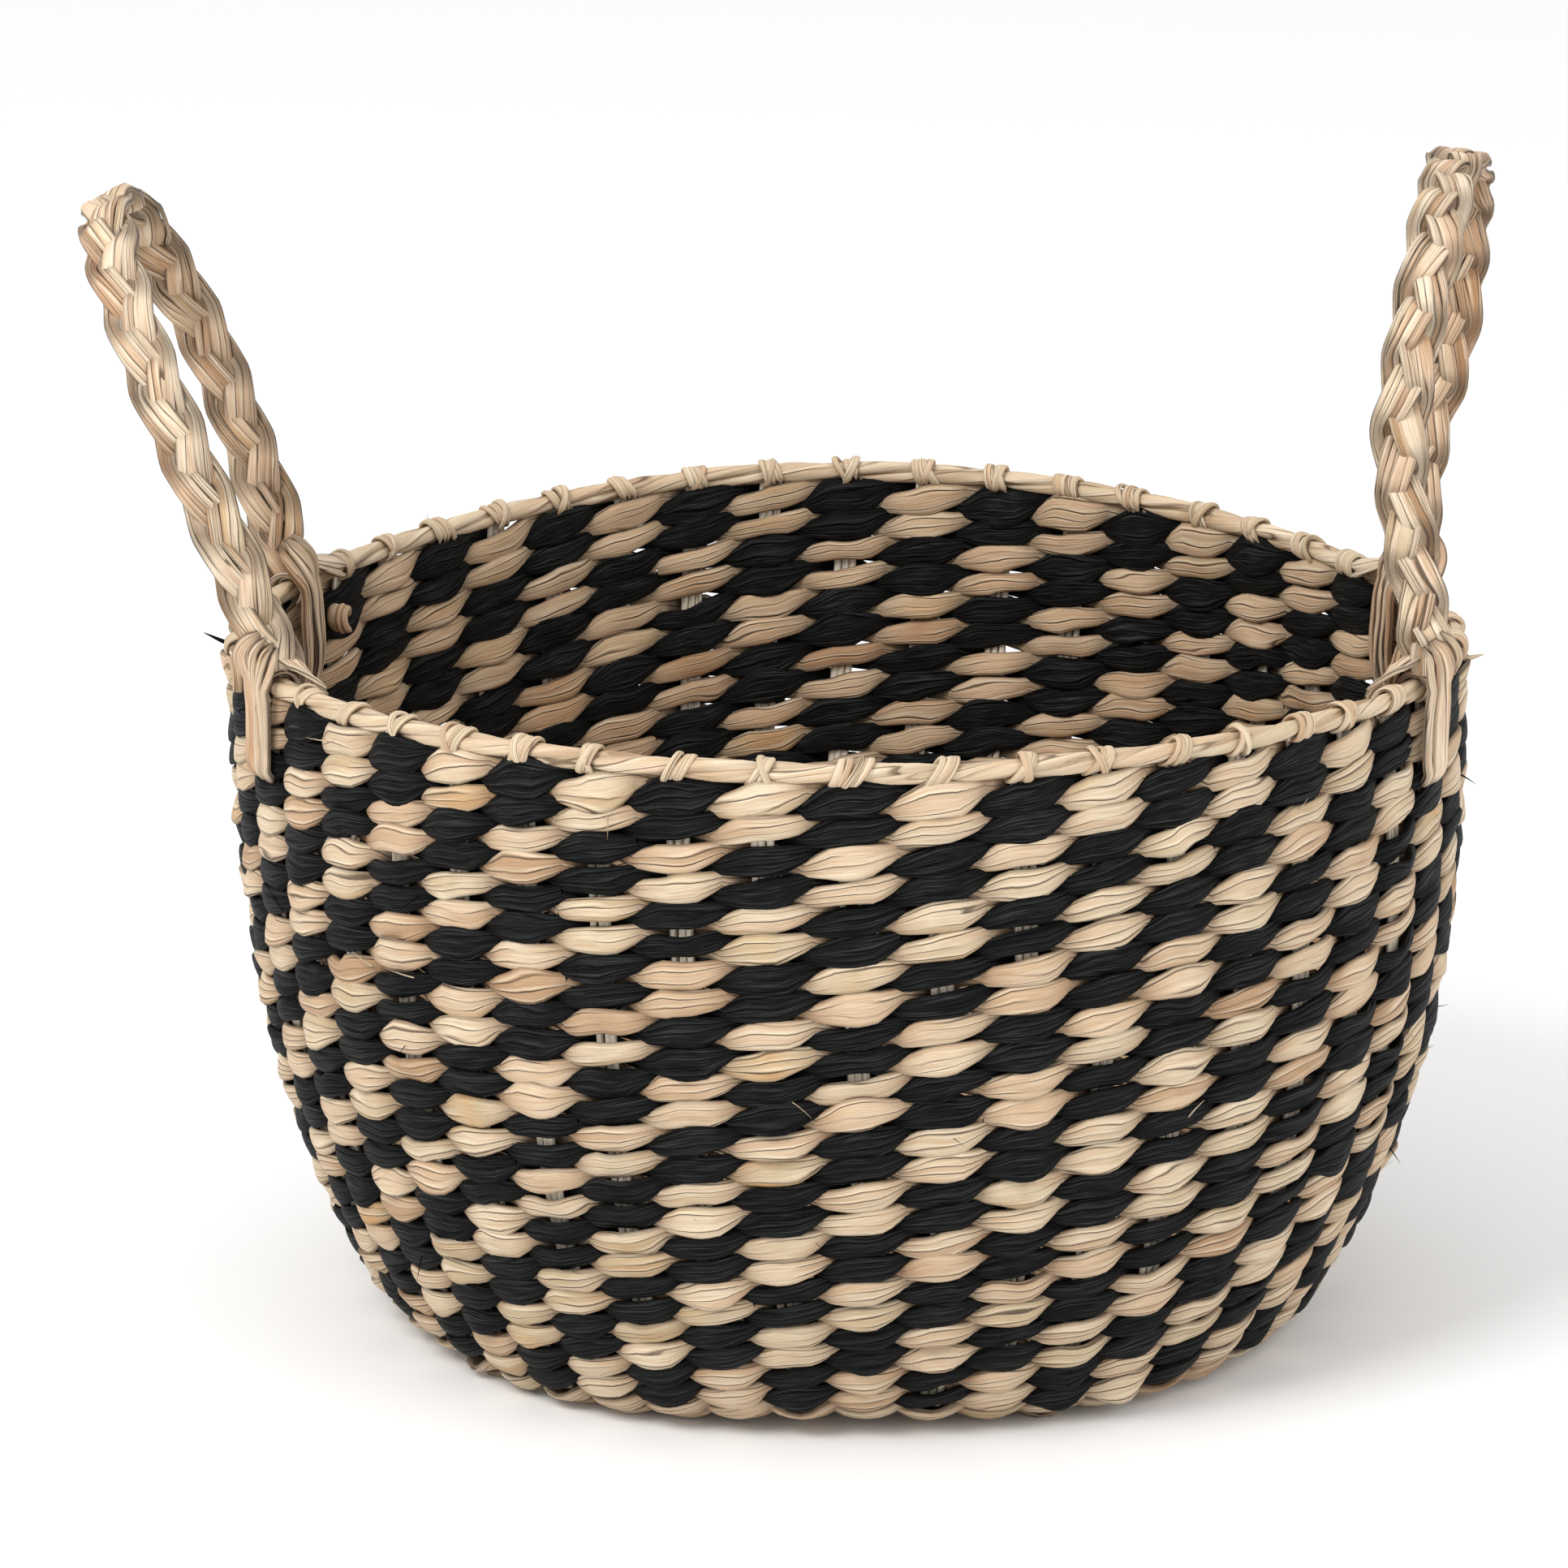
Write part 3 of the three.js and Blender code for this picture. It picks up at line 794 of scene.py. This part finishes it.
def uneven_round(around, size):
    """A random closed line round the rim, with a new value at about every stake."""
    values = rng.normal(0, size, STAKES)
    stake = (around + math.pi / 2) / STITCH
    return np.interp(stake, np.arange(STAKES + 1), np.append(values, values[0]))


# ---------------------------------------------------------------- handles

def handle_basis(name):
    """The bending axis: its middle, its direction to the back, and the way off the basket."""
    joint = joints[name]
    back = unit(np.array(joint["axis"])) * (1 if joint["axis"][1] > 0 else -1)
    away = unit(np.cross(back, (0, 0, 1))) * SIDES[name]
    return np.array(joint["pos_m"]), back, away


def handle_line(name, lengths):
    """Middle line of a handle with the directions away from the basket and through the plait."""
    hinge, back, away = handle_basis(name)
    height, lean = HEIGHTS[name], LEANS[name]
    leg = height - LEG_SPREAD
    arch = math.pi * LEG_SPREAD
    turn = np.clip(lengths - leg, 0, arch) / LEG_SPREAD
    fall = np.maximum(0, lengths - leg - arch)
    rise = np.minimum(lengths, leg) + LEG_SPREAD * np.sin(turn) - fall
    share = rise / height
    offset = share * (lean[0] + share * (lean[1] + share * lean[2]))
    slope = (lean[0] + share * (2 * lean[1] + share * 3 * lean[2])) / height
    along_axis = -LEG_SPREAD * np.cos(turn)
    turned = np.clip(share / TWISTED_BY, 0, 1)
    twist = TWISTS[name] * SIDES[name] * turned**2 * (3 - 2 * turned)
    points = (
        hinge
        + away * (offset + twist * along_axis)[:, None]
        + back * along_axis[:, None]
        + np.array([0, 0, 1]) * rise[:, None]
    )
    outward = unit(away - np.array([0, 0, 1]) * slope[:, None])
    forward = unit(np.gradient(points, axis=0))
    return points, outward, unit(np.cross(forward, outward))


def build_handle(name):
    """Three flattened bundles of blades plaited together, bending over the rim at both feet."""
    length = 2 * (HEIGHTS[name] - LEG_SPREAD) + math.pi * LEG_SPREAD
    lengths = np.arange(PLAIT_FOOT, length - PLAIT_FOOT, PLAIT_STEP)
    points, outward, through = handle_line(name, lengths)
    ends = np.minimum(lengths - lengths[0], lengths[-1] - lengths) / (12 * MM)
    ends = np.clip(0.7 + 0.3 * ends, 0, 1)
    # painted shade: the back leg is warmer, as a leg standing in shade
    back_leg = np.clip((lengths / length - 0.45) / 0.15, 0, 1)
    for order, letter in enumerate("abc"):
        strand = Sweep()
        phase = TURN * (lengths / PLAIT_PERIOD + order / 3) + uneven(lengths, 45 * MM, 0.1)
        zigzag = np.arcsin(PLAIT_CORNERS * np.sin(phase)) / math.asin(PLAIT_CORNERS)
        sideways = PLAIT_SIDEWAYS * zigzag * ends + uneven(lengths, 22 * MM, 0.4 * MM)
        depth = PLAIT_DEPTH * np.sin(2 * phase)
        centres = points + outward * sideways[:, None] + through * depth[:, None]
        blade_bundle(
            strand, centres, outward, through, PLAIT_HALF_WIDTH * (0.75 + 0.25 * ends),
            PLAIT_HALF_THICK, PLAIT_BLADES, 0.45, loose=0.08, warm=0.45 * back_leg,
            # painted shade: darker where each bundle turns under at the plait's edges
            dark=np.clip((np.abs(np.sin(phase)) - 0.82) / 0.18, 0, 1) * 0.55,
        )
        strand.fold_over(points, outward, through, PLAIT_EDGE * ends, np.sin(2 * phase))
        piece = strand.piece(
            f"{name}_plait_{letter}", None, "natural_straw", plait_straw,
            [f"{name}_strand_{letter}"],
        )
        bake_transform(piece)


# ---------------------------------------------------------------- feet of the handles

def tail_path(name, leg, sign, bottom):
    """A tail from the plait's face, past the rim cord and down one side of the wall to a tuck."""
    hinge, back, away = handle_basis(name)
    foot = hinge + back * leg * LEG_SPREAD
    high = np.array([0, 0, 1])
    face = back * leg * sign
    downs = np.array([0, 9 * MM, *np.linspace(18 * MM, bottom, 4), bottom + 4 * MM])
    stand_off = OUTER_TAIL_OFF if sign > 0 else INNER_TAIL_OFF
    around = np.full(len(downs), math.atan2(foot[1], foot[0]))
    below, out, up = shell(around, downs, sign * np.array(stand_off) * MM)
    above = [
        foot + high * TAIL_TOP + face * 4.2 * MM + away * sign * 0.5 * MM,
        foot + high * 1 * MM + face * 4.0 * MM + away * sign * 3.6 * MM,
    ]
    curve = smooth_curve(np.vstack([above, below]), 12)
    along = distance_along(curve)
    evenly = np.linspace(0, along[-1], 52)
    centres = np.column_stack([np.interp(evenly, along, curve[:, axis]) for axis in range(3)])
    side = np.cross(up[0], out[0])
    side = side * np.sign(side @ (-leg * back))
    turned = np.interp(evenly, (2 * MM, 17 * MM), (0, 1))[:, None]
    across = unit(away * (1 - turned) + side * turned)
    facing = unit(face * (1 - turned) + out[0] * sign * turned)
    return centres, across, facing


def build_foot(name, end):
    """The outer and inner tail of one leg and the bundle that folds over the rim between them."""
    hinge, back, _ = handle_basis(name)
    leg = -1 if end == "front" else 1
    foot = hinge + back * leg * LEG_SPREAD
    angle = math.atan2(foot[1], foot[0])
    for place, sign, rows in (("outer", 1, OUTER_TAIL_ROWS), ("inner", -1, INNER_TAIL_ROWS)):
        bottom = FIRST_ROW + (rows - 0.5) * ROW_PITCH
        centres, across, facing = tail_path(name, leg, sign, bottom)
        share = np.linspace(0, 1, len(centres))
        half_width = np.interp(share, (0, 0.2, 0.45, 0.85, 1), (4.4, 6.4, 8.2, 8.2, 6.4)) * MM
        tips = np.interp(share, (0, 0.06, 0.98, 1), (0.5, 1, 1, 0.6))
        tail = Sweep()
        blade_bundle(
            tail, centres, across, facing, half_width, TAIL_HALF_THICK, TAIL_BLADES, 0.5,
            # painted shade: the inner tail is warmer, inside the basket, and the tail darkens at both
            # ends, where it leaves the plait and where it tucks under the rows
            roll=0.25, loose=0.1, tips=tips, warm=0.3 if sign < 0 else 0.1,
            dark=np.interp(share, (0, 0.08, 0.93, 1), (0.5, 0, 0, 1)),
        )
        tail.piece(
            f"{name}_{end}_tail_{place}_blades", "basket", "natural_straw", plait_straw,
            [f"{name}_{end}_tail_{place}"],
        )

    fold = Sweep()
    spin = np.linspace(-0.25 * math.pi, 1.25 * math.pi, FOLD_STEPS)
    for blade in range(FOLD_BLADES):
        slide = (blade - (FOLD_BLADES - 1) / 2) * FOLD_SPACING + rng.normal(0, 0.4) * MM
        slide = slide + np.linspace(-1, 1, FOLD_STEPS) * rng.normal(0, 1.2) * MM
        reach = (FOLD_REACH + rng.uniform(0, 0.8)) * MM
        centres, over, along_rim = rim_spots(angle + slide / RIM_RADIUS, spin, reach)
        fold.add(
            centres, along_rim, over, rng.uniform(1.7, 2.3) * MM, 0.9 * MM, rng.uniform(0, 50),
            rng.uniform(0.25, 0.7), sides=10, roll=rng.normal(0, 0.2), edge=0.8,
        )
    # two blades side by side run on along the rim, from its top down to its inside
    toward = 1 if leg * SIDES[name] < 0 else -1
    tuck = np.linspace(0, 1, TUCK_STEPS)
    around = angle - toward * tuck * TUCK_LENGTH / RIM_RADIUS
    spin = math.pi * (0.5 + 0.42 * tuck)
    reach = np.interp(tuck, (0, 0.3, 1), (11, 8, 5.4)) * MM
    centres, over, along_rim = rim_spots(around, spin, reach)
    blade_bundle(
        fold, centres, np.cross(along_rim, over), over, 3.3 * MM, 1.1 * MM, 2, 0.5,
        tips=np.interp(tuck, (0, 0.1, 0.8, 1), (0.6, 1, 1, 0.4)),
    )
    fold.piece(
        f"{name}_{end}_fold_blades", "basket", "natural_straw", plait_straw, [f"{name}_{end}_fold"]
    )


# ---------------------------------------------------------------- stray ends

def build_stray_ends():
    """Short ends of straw that stand out of the rim and the wall."""
    pale, dark = Sweep(), Sweep()
    hairs = [
        (
            rng.uniform(0, 360), rng.uniform(4, 190), rng.uniform(0.2, 0.7), rng.uniform(-1, 1),
            rng.uniform(-1, 1), rng.uniform(5, 12), rng.uniform(0.2, 0.35), rng.random() < 0.5,
        )
        for _ in range(STRAY_HAIRS)
    ]
    for degrees, down, out_by, up_by, round_by, length, width, is_dark in STRAY_ENDS + hairs:
        around = np.array([math.radians(degrees)])
        middle, out, up = (values[0] for values in shell(around, np.array([down * MM])))
        side = np.cross(up, out)
        heading = unit(out * out_by + up * up_by + side * round_by)
        place = np.linspace(0, 1, 9)[:, None]
        start = middle + out * 3 * MM
        bend = unit(np.cross(heading, out)) * place**2 * length * 0.12 * MM
        centres = start + heading * place * length * MM + bend
        sweep = dark if is_dark else pale
        size = width * MM * (1 - 0.85 * place[:, 0] ** 1.5)
        flat = np.broadcast_to(np.cross(heading, side + 0.3 * up), centres.shape)
        sweep.add(
            centres, flat, np.cross(flat, heading), size, size * 0.45, rng.uniform(0, 50), 0.6,
            sides=8, edge=0.8,
        )
    for degrees, down, off_wall, radius, width in CURLED_ENDS:
        around = np.array([math.radians(degrees)])
        spots = shell(around, np.array([down * MM]), off_wall * MM)
        middle, out, up = (values[0] for values in spots)
        side = np.cross(up, out)
        place = np.linspace(0, 1, 24)
        turn = (1.5 * place - 0.5) * math.pi
        away = side * np.cos(turn)[:, None] + up * np.sin(turn)[:, None]
        centres = middle + away * (radius * MM * (1.15 - 0.5 * place))[:, None]
        centres = centres + out * (place * 3 * MM)[:, None]
        blade_bundle(
            pale, centres, np.broadcast_to(out, centres.shape), away, width * MM, 1.5 * MM, 3, 0.3,
            tips=np.clip(np.minimum(place, 1 - place) * 8 + 0.3, 0, 1), warm=0.4,
        )
    pale.piece("pale_stray_ends", "basket", "natural_straw", rim_straw)
    dark.piece("dark_stray_ends", "basket", "black_straw", black_straw)


build_wall()
build_base()
build_stakes()
build_rim()
for handle_name in SIDES:
    build_handle(handle_name)
    for leg_end in ("front", "back"):
        build_foot(handle_name, leg_end)
build_stray_ends()


# ---------------------------------------------------------------- stage

def build_stage():
    """Pale floor, soft light and the camera at the photograph's angle."""
    bpy.ops.mesh.primitive_plane_add(size=14, location=(0, 0, 0))
    floor = bpy.context.object
    floor.name = "studio_floor"
    paint = bpy.data.materials.new("studio_floor")
    paint.use_nodes = True
    shader = paint.node_tree.nodes["Principled BSDF"].inputs
    shader["Base Color"].default_value = (0.9, 0.9, 0.9, 1)
    shader["Roughness"].default_value = 0.9
    floor.data.materials.append(paint)
    world = bpy.data.worlds.new("studio")
    bpy.context.scene.world = world
    world.use_nodes = True
    sky = world.node_tree.nodes["Background"].inputs
    sky["Color"].default_value = (1, 1, 1, 1)
    sky["Strength"].default_value = 0.97
    for name, place, size, power in (
        ("key_light", (-1.3, -1.6, 2.2), 1.2, 50),
        ("fill_light", (1.8, -1.2, 1.4), 1.8, 12),
    ):
        light = bpy.data.lights.new(name, "AREA")
        light.size = size
        light.energy = power
        lamp = bpy.data.objects.new(name, light)
        lamp.location = place
        aim = Vector(LIGHTS_AIM) - Vector(place)
        lamp.rotation_euler = aim.to_track_quat("-Z", "Y").to_euler()
        bpy.context.scene.collection.objects.link(lamp)
    camera = bpy.data.cameras.new("camera")
    camera.lens = FOCAL_LENGTH
    camera.sensor_width = 36
    camera.clip_end = 50
    viewer = bpy.data.objects.new("camera", camera)
    viewer.location = EYE
    viewer.rotation_euler = (Vector(LOOKS_AT) - Vector(EYE)).to_track_quat("-Z", "Y").to_euler()
    bpy.context.scene.collection.objects.link(viewer)
    bpy.context.scene.camera = viewer
    bpy.context.scene.view_settings.view_transform = "Standard"


build_stage()
